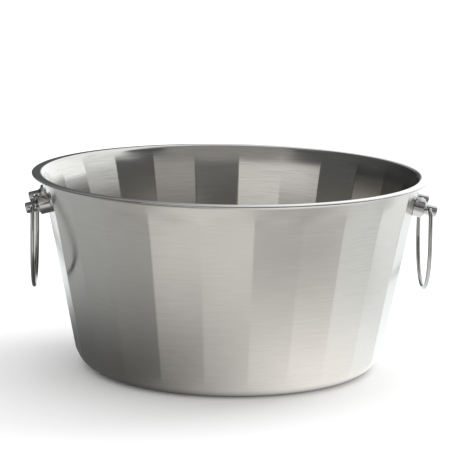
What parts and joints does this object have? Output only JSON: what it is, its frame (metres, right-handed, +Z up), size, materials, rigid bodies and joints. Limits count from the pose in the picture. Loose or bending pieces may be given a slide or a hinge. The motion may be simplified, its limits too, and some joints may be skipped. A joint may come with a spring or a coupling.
{
  "type": "beverage tub",
  "caption": "Round double-walled steel tub with a turned-out lip, flat-sided tapering walls and a drop-ring handle at each end, for chilling bottles on ice.",
  "frame": {"origin": "middle of the underside, on the table plane", "axes": "+Z up out of the mouth, front at -Y, the two ring handles at -X and +X"},
  "size_m": [0.4694, 0.4572, 0.225],
  "materials": {
    "outer_brushed_steel": "brushed round the tub",
    "liner_brushed_steel": "brushed round the tub",
    "polished_steel": "turned and polished",
    "ring_steel": "polished wire",
    "plain_steel": "mill finish",
    "cork_pad": "pressed cork"
  },
  "bodies": {
    "tub": {"outer_shell": "outer_brushed_steel", "inner_liner": "liner_brushed_steel", "floor_pad": "cork_pad", "left_front_collar": "polished_steel", "left_back_collar": "polished_steel", "right_front_collar": "polished_steel", "right_back_collar": "polished_steel", "left_front_eye_stud": "polished_steel", "left_back_eye_stud": "polished_steel", "right_front_eye_stud": "polished_steel", "right_back_eye_stud": "polished_steel", "left_front_washer": "plain_steel", "left_back_washer": "plain_steel", "right_front_washer": "plain_steel", "right_back_washer": "plain_steel", "left_backing_plate": "plain_steel", "right_backing_plate": "plain_steel"},
    "left_ring": {"left_ring_handle": "ring_steel"},
    "right_ring": {"right_ring_handle": "ring_steel"}
  },
  "joints": [
    {"name": "left_ring_swing", "type": "hinge", "parent": "tub", "child": "left_ring", "pos_m": [-0.22507, 0, 0.18921], "axis": [0, 1, 0], "range_deg": [-17, 178]},
    {"name": "right_ring_swing", "type": "hinge", "parent": "tub", "child": "right_ring", "pos_m": [0.22507, 0, 0.18921], "axis": [0, -1, 0], "range_deg": [-17, 178]}
  ]
}
